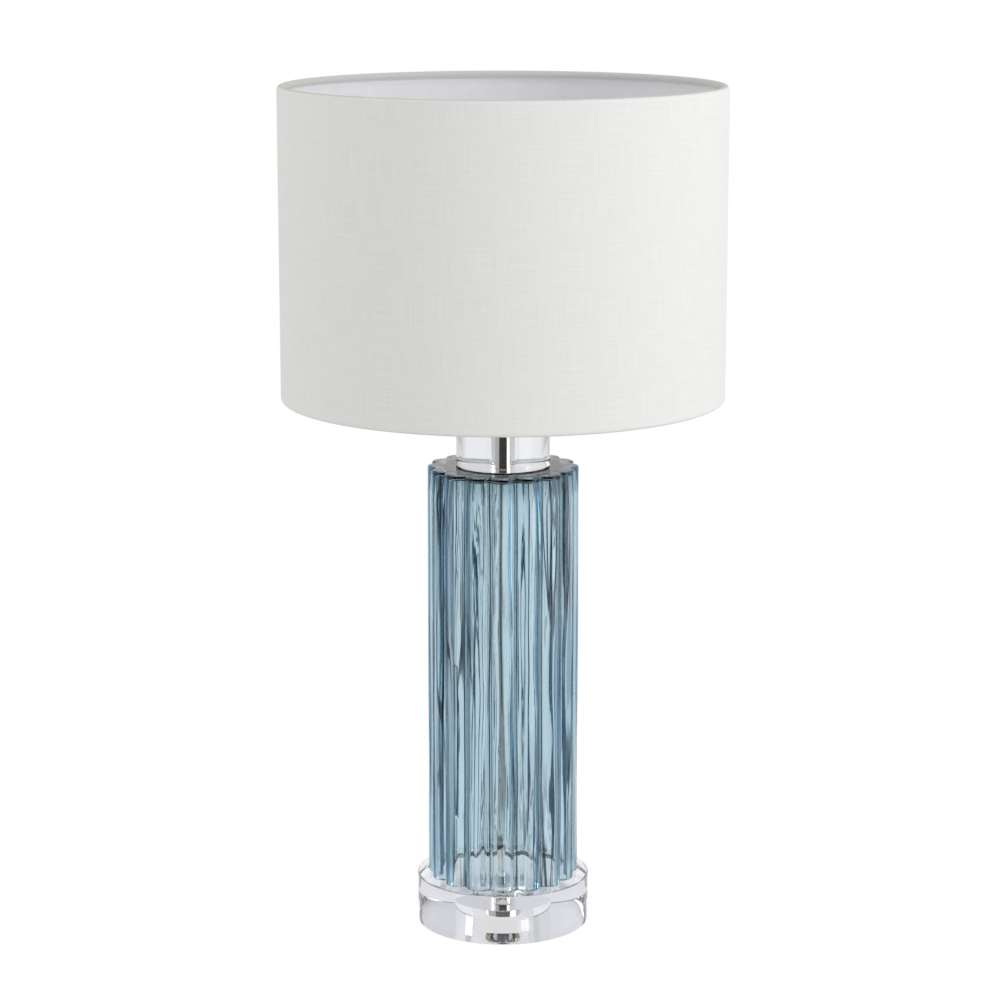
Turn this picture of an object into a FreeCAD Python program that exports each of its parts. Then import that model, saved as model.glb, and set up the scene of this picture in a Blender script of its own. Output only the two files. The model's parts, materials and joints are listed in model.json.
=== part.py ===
import FreeCAD, Part
import math
import os

# Column table lamp. Millimetres, +Z up, origin on the floor under the middle of the foot.
# The camera side of the lamp is -Y, and the cord leaves at the back, along +Y.

V = FreeCAD.Vector
UP = V(0, 0, 1)

# Foot: a clear acrylic disc on four soft pads, with a round recess under it for nut and cord.
foot_radius = 69.2
foot_height = 40.0
foot_edge_round = 1.0
recess_radius = 25.5
recess_depth = 18.0
pad_count = 4
pad_radius = 5.0
pad_height = 1.5
pad_circle_radius = 58.0

# Cord outlet: a hole from the recess to the back of the foot, lined by a flanged grommet.
outlet_bore_radius = 3.4
grommet_wall = 1.0
grommet_play = 0.1
grommet_length = 20.0
grommet_flange_width = 1.6
grommet_flange_thickness = 1.5

# Stem: an M10 tube that clamps the stack, inside a polished sleeve that shows.
tube_radius = 5.0
tube_bore_radius = 3.5
tube_tail = 3.0
sleeve_radius = 6.5
sleeve_wall = 1.2
sleeve_play = 0.5
thread_play = 0.05

# Washers and hexagon nuts on the stem.
nut_across_flats = 17.0
base_nut_height = 6.0
neck_nut_height = 5.0
base_washer_radius = 15.0
base_washer_thickness = 2.0
base_washer_depth = 9.0
base_washer_wall = 1.2
neck_washer_radius = 18.0
neck_washer_thickness = 2.0

# Column: fluted glass, open at the bottom and closed at the top but for the sleeve's hole.
column_radius = 60.2
column_height = 335.2
column_wall = 4.2
column_top_thickness = 3.0
column_inner_round = 2.0
column_rim_round = 1.2
lobe_count = 16
lobe_radius = 11.2
groove_radius = 1.2

# Backing: a thin dark disc bonded under the glass top, which hides the hole through it.
backing_thickness = 1.5
backing_play = 0.5

# Clear gaskets that keep the glass off the acrylic.
lower_gasket_thickness = 0.8
lower_gasket_inset = 0.6
upper_gasket_thickness = 0.6
upper_gasket_radius = 14.0

# Neck: the smaller acrylic disc on top of the column.
neck_radius = 37.2
neck_height = 40.0
neck_edge_round = 0.8

# Lampholder: a cap with the switch in it, and a body with the screw shell in it.
holder_radius = 21.0
holder_wall = 2.0
holder_cap_height = 23.0
holder_cap_chamfer = 5.0
holder_floor = 3.0
tube_in_cap = 4.0
body_radius = 19.5
body_wall = 2.0
body_height = 32.0
body_lip = 2.4
flange_radius = 24.0
flange_thickness = 2.5
flange_rise = 6.9
insert_play = 0.2
insert_height = 5.0
shell_wall = 0.5
shell_height = 22.0
shell_floor = 0.6
shell_mouth_radius = 9.0
shell_play = 0.35
contact_width = 5.0
contact_thickness = 0.6
contact_rise = 2.2
terminal_circle_radius = 11.5
terminal_head_radius = 2.6
terminal_head_height = 1.6
terminal_shank_radius = 1.5

# Switch: a bar pushed through the cap from either end.
bar_radius = 3.0
bar_length = 58.0
bar_play = 0.08
bar_travel = 8.0
bar_end_round = 1.2
bar_rise = 13.0

# Shade ring: the ribbed collar that clamps the shade's carrier on the holder's flange.
ring_radius = 27.0
ring_height = 8.0
ring_play = 0.08
ring_rib_count = 24
ring_rib_radius = 0.9

# Shade: a drum of fabric on a stiff lining, with a wire ring rolled into each edge.
shade_radius = 175.0
shade_height = 246.0
fabric_thickness = 0.6
liner_thickness = 0.8
wire_radius = 1.5
wire_play = 0.3
hem_cloth = 0.6
hem_slack = 0.1
hem_tail = 6.0
seam_width = 13.0
seam_thickness = 0.5
seam_azimuth = 108.0

# Carrier: a flat hub on the holder and three wire arms down to the bottom ring.
hub_play = 0.5
hub_radius = 26.5
hub_thickness = 1.5
carrier_drop = 25.8
arm_count = 3
arm_first_azimuth = 90.0

# Bulb: a 60 mm globe on an E27 screw cap.
bulb_radius = 30.0
bulb_length = 108.0
bulb_wall = 1.0
bulb_cap_radius = 13.1
bulb_cap_height = 24.0
bulb_cap_wall = 0.6
bulb_contact_radius = 4.8
bulb_contact_height = 1.5
bulb_insulator_radius = 11.5
bulb_insulator_height = 3.0
collar_height = 20.0
collar_top_radius = 24.0
collar_wall = 1.2

# Radii that follow from the ones above.
sleeve_hole_radius = sleeve_radius + sleeve_play
threaded_hole_radius = tube_radius + thread_play
outlet_hole_radius = outlet_bore_radius + grommet_wall + grommet_play
body_bore_radius = body_radius - body_wall
insert_radius = body_bore_radius - insert_play
shell_bore_radius = bulb_cap_radius + shell_play
lobe_centre_radius = column_radius - lobe_radius
lobe_half_angle = math.pi / lobe_count
lobe_half_pitch = lobe_centre_radius * math.sin(lobe_half_angle)
flute_reach = lobe_radius + groove_radius
groove_drop = math.sqrt(flute_reach ** 2 - lobe_half_pitch ** 2)
groove_centre_radius = lobe_centre_radius * math.cos(lobe_half_angle) + groove_drop
hollow_groove_radius = groove_centre_radius - groove_radius - column_wall
backing_radius = hollow_groove_radius - column_inner_round - backing_play
liner_radius = shade_radius - fabric_thickness
liner_bore_radius = liner_radius - liner_thickness
wire_tunnel_radius = wire_radius + wire_play
wire_ring_radius = liner_bore_radius - hem_cloth - hem_slack - wire_tunnel_radius
hem_roll_radius = (fabric_thickness + liner_thickness + hem_slack) / 2 + hem_cloth + wire_tunnel_radius
roll_ring_radius = shade_radius - hem_roll_radius

# Levels, from the floor up: each piece stands on the one before it.
foot_bottom = pad_height
recess_top = foot_bottom + recess_depth
foot_top = foot_bottom + foot_height
base_nut_top = recess_top - base_washer_thickness
tube_bottom = base_nut_top - base_nut_height - tube_tail
column_bottom = foot_top + lower_gasket_thickness
column_top = column_bottom + column_height
backing_bottom = column_top - column_top_thickness - backing_thickness
neck_bottom = column_top + upper_gasket_thickness
neck_top = neck_bottom + neck_height
neck_nut_bottom = neck_top + neck_washer_thickness
cap_bottom = neck_nut_bottom + neck_nut_height
cap_floor = cap_bottom + holder_floor
cap_top = cap_bottom + holder_cap_height
tube_top = cap_bottom + tube_in_cap
bar_level = cap_bottom + bar_rise
insert_bottom = cap_top
insert_top = insert_bottom + insert_height
body_top = cap_top + body_height
flange_bottom = cap_top + flange_rise
hub_bottom = flange_bottom + flange_thickness
hub_top = hub_bottom + hub_thickness
contact_top = insert_top + contact_rise
shade_bottom = hub_bottom - carrier_drop
shade_top = shade_bottom + shade_height
outlet_level = foot_bottom + recess_depth / 2


def disc(radius, bottom, height):
    """A solid cylinder about the lamp's axis."""
    return Part.makeCylinder(radius, height, V(0, 0, bottom))


def tube(radius, bore, bottom, height):
    """A hollow cylinder about the lamp's axis."""
    return disc(radius, bottom, height).cut(disc(bore, bottom, height))


def lathe(corners):
    """The solid that a closed outline of (radius, level) corners sweeps about the lamp's axis."""
    points = [V(radius, 0, level) for radius, level in corners]
    face = Part.Face(Part.makePolygon(points + points[:1]))
    return face.revolve(V(0, 0, 0), UP, 360)


def torus(middle_radius, section_radius, level):
    """A closed ring of round section about the lamp's axis."""
    return Part.makeTorus(middle_radius, section_radius, V(0, 0, level))


def polar(radius, degrees, level=0.0):
    """The point at a radius and an azimuth, counted from +X towards +Y."""
    angle = math.radians(degrees)
    return V(radius * math.cos(angle), radius * math.sin(angle), level)


def round_edges_at(solid, level, radius):
    """Round the edges that lie wholly at one level."""
    edges = []
    for edge in solid.Edges:
        box = edge.BoundBox
        if abs(box.ZMin - level) < 1e-6 and abs(box.ZMax - level) < 1e-6:
            edges.append(edge)
    return solid.makeFillet(radius, edges)


def hex_nut(bottom, height):
    """A hexagon nut on the stem's thread."""
    corner = nut_across_flats / math.sqrt(3)
    points = [polar(corner, 60 * side, bottom) for side in range(7)]
    blank = Part.Face(Part.makePolygon(points)).extrude(V(0, 0, height))
    return blank.cut(disc(threaded_hole_radius, bottom, height))


# ---- Foot ----

def along_back(radius, start, length):
    """A cylinder along +Y on the cord outlet's axis."""
    return Part.makeCylinder(radius, length, V(0, start, outlet_level), V(0, 1, 0))


def make_foot_disc():
    body = disc(foot_radius, foot_bottom, foot_height)
    body = round_edges_at(body, foot_top, foot_edge_round)
    body = round_edges_at(body, foot_bottom, foot_edge_round)
    body = body.cut(disc(recess_radius, foot_bottom, recess_depth))
    body = body.cut(disc(sleeve_hole_radius, foot_bottom, foot_height))
    body = body.cut(along_back(outlet_hole_radius, 0, foot_radius))
    seat = foot_radius - grommet_flange_thickness
    seat_radius = outlet_hole_radius + grommet_flange_width
    return body.cut(along_back(seat_radius, seat, grommet_flange_thickness))


def make_foot_pads():
    pads = []
    for index in range(pad_count):
        centre = polar(pad_circle_radius, 360 * (index + 0.5) / pad_count)
        pads.append(Part.makeCylinder(pad_radius, pad_height, centre))
    return Part.makeCompound(pads)


def make_cord_grommet():
    seat = foot_radius - grommet_flange_thickness
    barrel = along_back(outlet_bore_radius + grommet_wall, seat - grommet_length, grommet_length)
    rim_radius = outlet_bore_radius + grommet_wall + grommet_flange_width
    flange = along_back(rim_radius, seat, grommet_flange_thickness)
    whole = barrel.fuse(flange)
    length = grommet_length + grommet_flange_thickness
    return whole.cut(along_back(outlet_bore_radius, seat - grommet_length, length))


def make_base_washer():
    """A cup washer: a plate against the recess's ceiling, with a skirt that hides the nut."""
    plate = tube(base_washer_radius, threaded_hole_radius, base_nut_top, base_washer_thickness)
    skirt_bore = base_washer_radius - base_washer_wall
    skirt = tube(base_washer_radius, skirt_bore, recess_top - base_washer_depth, base_washer_depth)
    return plate.fuse(skirt).removeSplitter()


def make_base_nut():
    return hex_nut(base_nut_top - base_nut_height, base_nut_height)


# ---- Stem ----

def make_threaded_tube():
    return tube(tube_radius, tube_bore_radius, tube_bottom, tube_top - tube_bottom)


def make_stem_sleeve():
    bore = sleeve_radius - sleeve_wall
    return tube(sleeve_radius, bore, recess_top, neck_top - recess_top)


# ---- Column ----

def fluted_prism(inset, level, height):
    """A prism inside the column's outline: convex lobes that meet in small round grooves.

    The inset runs inwards from the outline, so lobes tighten by it and grooves widen by it.
    """
    lobe = lobe_radius - inset
    groove = groove_radius + inset
    pitch = 360 / lobe_count
    edges = []
    for index in range(lobe_count):
        azimuth = pitch * index - 90
        here = polar(lobe_centre_radius, azimuth, level)
        before = polar(groove_centre_radius, azimuth - pitch / 2, level)
        after = polar(groove_centre_radius, azimuth + pitch / 2, level)
        following = polar(lobe_centre_radius, azimuth + pitch, level)
        start = here + (before - here) * (lobe / flute_reach)
        end = here + (after - here) * (lobe / flute_reach)
        next_start = following + (after - following) * (lobe / flute_reach)
        tip = polar(lobe_centre_radius + lobe, azimuth, level)
        dip = polar(groove_centre_radius - groove, azimuth + pitch / 2, level)
        edges.append(Part.Arc(start, tip, end).toShape())
        edges.append(Part.Arc(end, dip, next_start).toShape())
    return Part.Face(Part.Wire(edges)).extrude(V(0, 0, height))


def make_column_glass():
    outside = fluted_prism(0, column_bottom, column_height)
    outside = round_edges_at(outside, column_top, column_rim_round)
    hollow_height = column_height - column_top_thickness
    hollow = fluted_prism(column_wall, column_bottom, hollow_height)
    hollow = round_edges_at(hollow, column_bottom + hollow_height, column_inner_round)
    return outside.cut(hollow).cut(disc(sleeve_hole_radius, column_bottom, column_height))


def make_top_backing():
    return tube(backing_radius, sleeve_hole_radius, backing_bottom, backing_thickness)


def make_lower_gasket():
    outside = fluted_prism(lower_gasket_inset, foot_top, lower_gasket_thickness)
    inner_inset = column_wall - lower_gasket_inset
    return outside.cut(fluted_prism(inner_inset, foot_top, lower_gasket_thickness))


def make_upper_gasket():
    return tube(upper_gasket_radius, sleeve_hole_radius, column_top, upper_gasket_thickness)


# ---- Neck ----

def make_neck_disc():
    body = disc(neck_radius, neck_bottom, neck_height)
    body = round_edges_at(body, neck_top, neck_edge_round)
    body = round_edges_at(body, neck_bottom, neck_edge_round)
    return body.cut(disc(sleeve_hole_radius, neck_bottom, neck_height))


def make_neck_washer():
    return tube(neck_washer_radius, threaded_hole_radius, neck_top, neck_washer_thickness)


def make_neck_nut():
    return hex_nut(neck_nut_bottom, neck_nut_height)


# ---- Lampholder ----

def across_cap(radius, start, length):
    """A cylinder along +X on the switch bar's axis."""
    return Part.makeCylinder(radius, length, V(start, 0, bar_level), V(1, 0, 0))


def make_holder_cap():
    outer = [
        (threaded_hole_radius, cap_bottom),
        (holder_radius - holder_cap_chamfer, cap_bottom),
        (holder_radius, cap_bottom + holder_cap_chamfer),
        (holder_radius, cap_top),
        (holder_radius - holder_wall, cap_top),
        (holder_radius - holder_wall, cap_bottom + holder_cap_chamfer),
        (holder_radius - holder_cap_chamfer, cap_floor),
        (threaded_hole_radius, cap_floor),
    ]
    hole = across_cap(bar_radius + bar_play, -holder_radius, 2 * holder_radius)
    return lathe(outer).cut(hole)


def make_switch_block():
    radius = holder_radius - holder_cap_chamfer
    block = disc(radius, cap_floor, cap_top - cap_floor)
    block = block.cut(disc(threaded_hole_radius, cap_floor, bar_level - bar_radius - cap_floor))
    return block.cut(across_cap(bar_radius + bar_play, -radius, 2 * radius))


def make_switch_bar():
    start = bar_travel / 2 - bar_length / 2
    bar = across_cap(bar_radius, start, bar_length)
    ends = [edge for edge in bar.Edges if edge.BoundBox.XLength < 1e-6]
    return bar.makeFillet(bar_end_round, ends)


def make_holder_body():
    lip_bore = shell_bore_radius + shell_wall + shell_play
    outline = [
        (body_bore_radius, cap_top),
        (holder_radius, cap_top),
        (holder_radius, flange_bottom),
        (flange_radius, flange_bottom),
        (flange_radius, hub_bottom),
        (body_radius, hub_bottom),
        (body_radius, body_top),
        (lip_bore, body_top),
        (lip_bore, body_top - body_lip),
        (body_bore_radius, body_top - body_lip),
    ]
    return lathe(outline)


def terminal_places():
    return [polar(terminal_circle_radius, azimuth) for azimuth in (0, 180)]


def make_terminal_screws():
    """Two screws up through the insert, their heads sunk in its underside."""
    screws = []
    for place in terminal_places():
        seat = place + V(0, 0, insert_bottom)
        head = Part.makeCylinder(terminal_head_radius, terminal_head_height, seat)
        shank = Part.makeCylinder(terminal_shank_radius, insert_height, seat)
        screws.append(head.fuse(shank).removeSplitter())
    return Part.makeCompound(screws)


def make_holder_insert(screws):
    return disc(insert_radius, insert_bottom, insert_height).cut(screws)


def make_screw_shell():
    outer = shell_bore_radius + shell_wall
    outline = [
        (shell_mouth_radius, insert_top),
        (outer, insert_top),
        (outer, insert_top + shell_height),
        (shell_bore_radius, insert_top + shell_height),
        (shell_bore_radius, insert_top + shell_floor),
        (shell_mouth_radius, insert_top + shell_floor),
    ]
    return lathe(outline)


def make_centre_contact():
    """A springy strip: a foot on the insert, a riser, and a tongue under the bulb's contact."""
    half = contact_width / 2
    reach = shell_mouth_radius - 1.0
    foot = Part.makeBox(reach, contact_width, contact_thickness, V(0, -half, insert_top))
    corner = V(reach - contact_thickness, -half, insert_top)
    riser = Part.makeBox(contact_thickness, contact_width, contact_rise, corner)
    top_level = contact_top - contact_thickness
    tongue = Part.makeBox(2 * reach - 4, contact_width, contact_thickness, V(4 - reach, -half, top_level))
    return foot.fuse(riser).fuse(tongue).removeSplitter()


# ---- Shade ring and carrier ----

def make_shade_ring():
    ring = tube(ring_radius, body_radius + ring_play, hub_top, ring_height)
    for index in range(ring_rib_count):
        groove = polar(ring_radius + ring_rib_radius / 2, 360 * index / ring_rib_count, hub_top)
        ring = ring.cut(Part.makeCylinder(ring_rib_radius, ring_height, groove))
    return ring


def make_carrier_hub():
    return tube(hub_radius, body_radius + hub_play, hub_bottom, hub_thickness)


def make_carrier_arms(hub, ring):
    """Wires that slope from the hub's edge down to the bottom ring."""
    arms = []
    for index in range(arm_count):
        azimuth = arm_first_azimuth + 360 * index / arm_count
        inner = polar(hub_radius - wire_radius, azimuth, hub_bottom - wire_radius / 2)
        outer = polar(wire_ring_radius, azimuth, shade_bottom + hem_roll_radius)
        run = outer - inner
        arm = Part.makeCylinder(wire_radius, run.Length, inner, run)
        arms.append(arm.cut(hub).cut(ring))
    return Part.makeCompound(arms)


# ---- Shade ----

def make_shade_skin(radius, thickness):
    bottom = shade_bottom + hem_roll_radius
    return tube(radius, radius - thickness, bottom, shade_height - 2 * hem_roll_radius)


def make_hem(edge_level, inward):
    """Cloth rolled over a wire at one edge of the drum; inward is +1 at the bottom and -1 at the top."""
    roll_level = edge_level + inward * hem_roll_radius
    roll = torus(roll_ring_radius, hem_roll_radius, roll_level)
    low = min(edge_level, roll_level)
    roll = roll.common(tube(shade_radius, roll_ring_radius - hem_roll_radius, low, hem_roll_radius))
    tail_low = min(roll_level, roll_level + inward * hem_tail)
    tail = tube(liner_bore_radius, liner_bore_radius - hem_cloth, tail_low, hem_tail)
    return roll.fuse(tail).cut(torus(wire_ring_radius, wire_tunnel_radius, roll_level))


def make_shade_seam():
    half_angle = math.degrees(seam_width / 2 / shade_radius)
    bottom = shade_bottom + hem_roll_radius
    height = shade_height - 2 * hem_roll_radius
    wide = Part.makeCylinder(shade_radius + seam_thickness, height, V(0, 0, bottom), UP, 2 * half_angle)
    strip = wide.cut(disc(shade_radius, bottom, height))
    strip.rotate(V(0, 0, 0), UP, seam_azimuth - half_angle)
    return strip


# ---- Bulb ----

def bulb_levels():
    """Levels of the bulb's pieces, from the contact on the holder's tongue up."""
    insulator = contact_top + bulb_contact_height
    cap = insulator + bulb_insulator_height
    collar = cap + bulb_cap_height
    globe = collar + collar_height
    top = contact_top + bulb_length
    return insulator, cap, collar, globe, top


def make_bulb_contact():
    return disc(bulb_contact_radius, contact_top, bulb_contact_height)


def make_bulb_insulator():
    bottom, top = bulb_levels()[:2]
    return Part.makeCone(bulb_contact_radius, bulb_insulator_radius, top - bottom, V(0, 0, bottom))


def make_bulb_cap():
    _, bottom, top = bulb_levels()[:3]
    inner = bulb_cap_radius - bulb_cap_wall
    cup = disc(bulb_cap_radius, bottom, top - bottom)
    return cup.cut(disc(inner, bottom + bulb_cap_wall, top - bottom - bulb_cap_wall))


def make_bulb_collar():
    bottom, top = bulb_levels()[2:4]
    outline = [
        (bulb_cap_radius - bulb_cap_wall, bottom),
        (bulb_cap_radius, bottom),
        (collar_top_radius, top),
        (collar_top_radius - collar_wall, top),
    ]
    return lathe(outline)


def globe_solid(radius, rim_radius, rim_level):
    """A ball on a straight skirt, cut off at the rim, under the bulb's top."""
    centre = bulb_levels()[4] - bulb_radius
    ball = Part.makeSphere(radius, V(0, 0, centre))
    meet = centre - math.sqrt(radius ** 2 - (rim_radius + (radius - rim_radius) * 0.75) ** 2)
    meet_radius = rim_radius + (radius - rim_radius) * 0.75
    skirt = Part.makeCone(rim_radius, meet_radius, meet - rim_level, V(0, 0, rim_level))
    upper = ball.common(disc(radius + 1, meet, 2 * radius))
    return skirt.fuse(upper).removeSplitter()


def make_bulb_globe():
    rim_level = bulb_levels()[3]
    outer = globe_solid(bulb_radius, collar_top_radius, rim_level)
    inner = globe_solid(bulb_radius - bulb_wall, collar_top_radius - bulb_wall, rim_level)
    return outer.cut(inner)


def make_parts():
    bottom_ring = torus(wire_ring_radius, wire_radius, shade_bottom + hem_roll_radius)
    top_ring = torus(wire_ring_radius, wire_radius, shade_top - hem_roll_radius)
    hub = make_carrier_hub()
    arms = make_carrier_arms(hub, bottom_ring)
    screws = make_terminal_screws()
    parts = {
        "foot_disc": make_foot_disc(),
        "foot_pads": make_foot_pads(),
        "cord_grommet": make_cord_grommet(),
        "base_washer": make_base_washer(),
        "base_nut": make_base_nut(),
        "threaded_tube": make_threaded_tube(),
        "stem_sleeve": make_stem_sleeve(),
        "column_glass": make_column_glass(),
        "top_backing": make_top_backing(),
        "lower_gasket": make_lower_gasket(),
        "upper_gasket": make_upper_gasket(),
        "neck_disc": make_neck_disc(),
        "neck_washer": make_neck_washer(),
        "neck_nut": make_neck_nut(),
        "holder_cap": make_holder_cap(),
        "switch_block": make_switch_block(),
        "switch_bar": make_switch_bar(),
        "holder_body": make_holder_body(),
        "holder_insert": make_holder_insert(screws),
        "terminal_screws": screws,
        "screw_shell": make_screw_shell(),
        "centre_contact": make_centre_contact(),
        "shade_ring": make_shade_ring(),
        "carrier_hub": hub,
        "carrier_arms": arms,
        "bottom_ring": bottom_ring,
        "top_ring": top_ring,
        "shade_liner": make_shade_skin(liner_radius, liner_thickness),
        "shade_fabric": make_shade_skin(shade_radius, fabric_thickness),
        "bottom_hem": make_hem(shade_bottom, 1).cut(arms),
        "top_hem": make_hem(shade_top, -1),
        "shade_seam": make_shade_seam(),
        "bulb_contact": make_bulb_contact(),
        "bulb_insulator": make_bulb_insulator(),
        "bulb_cap": make_bulb_cap(),
        "bulb_collar": make_bulb_collar(),
        "bulb_globe": make_bulb_globe(),
    }
    return parts


os.makedirs("parts", exist_ok=True)
for name, shape in make_parts().items():
    shape.exportStep("parts/" + name + ".step")
    print(name, len(shape.Solids), shape.isValid(), round(shape.Volume, 1))
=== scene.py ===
import json
import logging
import math
from dataclasses import dataclass
from enum import Enum
from typing import Dict, List, Optional, Sequence, Tuple, Union

import bmesh
import bpy
import numpy as np
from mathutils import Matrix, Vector


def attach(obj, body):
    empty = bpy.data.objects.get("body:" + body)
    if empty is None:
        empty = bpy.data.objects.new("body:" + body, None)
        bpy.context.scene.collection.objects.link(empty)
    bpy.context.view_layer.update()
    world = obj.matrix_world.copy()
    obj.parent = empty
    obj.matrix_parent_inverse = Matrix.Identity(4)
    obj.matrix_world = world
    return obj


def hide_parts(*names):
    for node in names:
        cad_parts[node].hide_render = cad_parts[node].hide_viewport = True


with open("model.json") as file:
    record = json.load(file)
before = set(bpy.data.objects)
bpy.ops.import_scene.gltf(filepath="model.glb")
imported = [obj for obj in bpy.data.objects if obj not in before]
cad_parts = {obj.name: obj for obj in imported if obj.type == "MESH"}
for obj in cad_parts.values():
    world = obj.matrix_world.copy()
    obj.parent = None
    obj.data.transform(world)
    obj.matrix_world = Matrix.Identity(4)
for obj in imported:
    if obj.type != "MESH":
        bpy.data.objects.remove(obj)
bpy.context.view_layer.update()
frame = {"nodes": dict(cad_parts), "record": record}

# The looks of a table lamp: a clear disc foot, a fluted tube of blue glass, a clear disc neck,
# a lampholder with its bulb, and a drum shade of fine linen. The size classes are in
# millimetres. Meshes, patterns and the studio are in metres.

MM = 0.001
Pair = Tuple[float, float]
Triple = Tuple[float, float, float]
Colour = Tuple[float, float, float]
Face = Tuple[int, ...]
Looks = Dict[str, bpy.types.Material]
Settings = Optional[Dict[str, object]]
Inputs = Optional[Dict[Union[int, str], object]]
# A ring's level and inset in millimetres; its gather, from 0, fluted, to 1, the round hole; and its
# side, 0 outside and 1 inside.
Ring = Tuple[float, float, float, float]
log = logging.getLogger("lamp")


class Body(Enum):
    """The bodies that pieces ride on."""

    STAND = "stand"
    SHADE = "shade"
    BULB = "bulb"


class Edge(Enum):
    """Which edge of the drum a hem runs along."""

    BOTTOM = 1
    TOP = -1


# ---- Node trees ----


class Sock:
    """A node's output, which can be added, multiplied and so on like a number."""

    def __init__(self, tree: "Tree", socket: bpy.types.NodeSocket) -> None:
        """Args:
            tree: the tree that new nodes go into.
            socket: the output that this stands for.
        """
        self.tree = tree
        self.socket = socket

    def __add__(self, other: "Value") -> "Sock":
        """This plus other."""
        return self.tree.math("ADD", self, other)

    def __radd__(self, other: "Value") -> "Sock":
        """Other plus this."""
        return self.tree.math("ADD", other, self)

    def __sub__(self, other: "Value") -> "Sock":
        """This less other."""
        return self.tree.math("SUBTRACT", self, other)

    def __rsub__(self, other: "Value") -> "Sock":
        """Other less this."""
        return self.tree.math("SUBTRACT", other, self)

    def __mul__(self, other: "Value") -> "Sock":
        """This times other."""
        return self.tree.math("MULTIPLY", self, other)

    def __rmul__(self, other: "Value") -> "Sock":
        """Other times this."""
        return self.tree.math("MULTIPLY", other, self)

    def __truediv__(self, other: "Value") -> "Sock":
        """This over other."""
        return self.tree.math("DIVIDE", self, other)

    def __rtruediv__(self, other: "Value") -> "Sock":
        """Other over this."""
        return self.tree.math("DIVIDE", other, self)

    def __neg__(self) -> "Sock":
        """This with its sign turned."""
        return self.tree.math("MULTIPLY", self, -1.0)

    def __abs__(self) -> "Sock":
        """This without its sign."""
        return self.tree.math("ABSOLUTE", self)


Value = Union[Sock, float]


class Tree:
    """Builds nodes in a shader, world or geometry tree."""

    def __init__(self, tree: bpy.types.NodeTree) -> None:
        """Args:
            tree: the tree to fill. Its own nodes are removed.
        """
        tree.nodes.clear()
        self.tree = tree

    def node(self, kind: str, settings: Settings = None, inputs: Inputs = None) -> bpy.types.Node:
        """Adds one node, with its settings first and then its sockets.

        Args:
            kind: the node's type.
            settings: attribute to value.
            inputs: socket name or index to a value or a Sock.

        Returns:
            The node.
        """
        made = self.tree.nodes.new(kind)
        for name, value in (settings or {}).items():
            setattr(made, name, value)
        for key, value in (inputs or {}).items():
            if isinstance(value, Sock):
                self.tree.links.new(value.socket, made.inputs[key])
            elif value is not None:
                made.inputs[key].default_value = value
        return made

    def out(self, made: bpy.types.Node, key: Union[int, str] = 0) -> Sock:
        """Args:
            made: a node of this tree.
            key: which output.

        Returns:
            The output as a Sock.
        """
        return Sock(self, made.outputs[key])

    def math(self, operation: str, *values: Value) -> Sock:
        """Args:
            operation: the Math node's operation.
            values: its operands.

        Returns:
            The result.
        """
        return self.out(self.node("ShaderNodeMath", {"operation": operation}, dict(enumerate(values))))

    def vector(self, operation: str, *values: Union[Sock, Sequence[float]]) -> Sock:
        """Args:
            operation: the Vector Math node's operation.
            values: its operands.

        Returns:
            The resulting vector.
        """
        return self.out(self.node("ShaderNodeVectorMath", {"operation": operation}, dict(enumerate(values))))

    def combine(self, x: Value, y: Value, z: Value) -> Sock:
        """Args:
            x, y, z: the vector's parts.

        Returns:
            The vector.
        """
        return self.out(self.node("ShaderNodeCombineXYZ", None, {0: x, 1: y, 2: z}))

    def separate(self, vector: Sock) -> Tuple[Sock, Sock, Sock]:
        """Args:
            vector: a vector.

        Returns:
            Its three parts.
        """
        made = self.node("ShaderNodeSeparateXYZ", None, {0: vector})
        return self.out(made, 0), self.out(made, 1), self.out(made, 2)

    def noise(self, vector: Sock, scale: float = 1.0, detail: float = 2.0, rough: float = 0.5) -> Sock:
        """Args:
            vector: where the noise is read.
            scale: its frequency.
            detail: how many finer octaves it has.
            rough: how strong those are.

        Returns:
            Noise about 0.5, from 0 to 1.
        """
        inputs = {"Vector": vector, "Scale": scale, "Detail": detail, "Roughness": rough}
        return self.out(self.node("ShaderNodeTexNoise", None, inputs))

    def remap(self, value: Value, span: Pair, to: Pair, smooth: bool = False) -> Sock:
        """Args:
            value: what is mapped.
            span: the lowest and highest input.
            to: what they become.
            smooth: whether the steps have soft ends.

        Returns:
            The mapped value, held within to.
        """
        settings = {"interpolation_type": "SMOOTHSTEP" if smooth else "LINEAR"}
        inputs = {0: value, 1: span[0], 2: span[1], 3: to[0], 4: to[1]}
        return self.out(self.node("ShaderNodeMapRange", settings, inputs))

    def mix(self, factor: Value, a: Union[Sock, Colour], b: Union[Sock, Colour]) -> Sock:
        """Args:
            factor: 0 for a, 1 for b.
            a, b: two colours.

        Returns:
            The mixed colour.
        """
        first, second = (colour if isinstance(colour, Sock) else (*colour, 1.0) for colour in (a, b))
        made = self.node("ShaderNodeMix", {"data_type": "RGBA"}, {0: factor, 6: first, 7: second})
        return self.out(made, 2)

    def greatest(self, *values: Value) -> Sock:
        """Args:
            values: two or more numbers.

        Returns:
            The greatest of them.
        """
        most = values[0]
        for value in values[1:]:
            most = self.math("MAXIMUM", most, value)
        return most

    def reach(self, east: Sock, north: Sock) -> Sock:
        """Args:
            east, north: a place on the ground.

        Returns:
            How far it is from the lamp's axis.
        """
        return self.math("SQRT", east * east + north * north)


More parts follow.
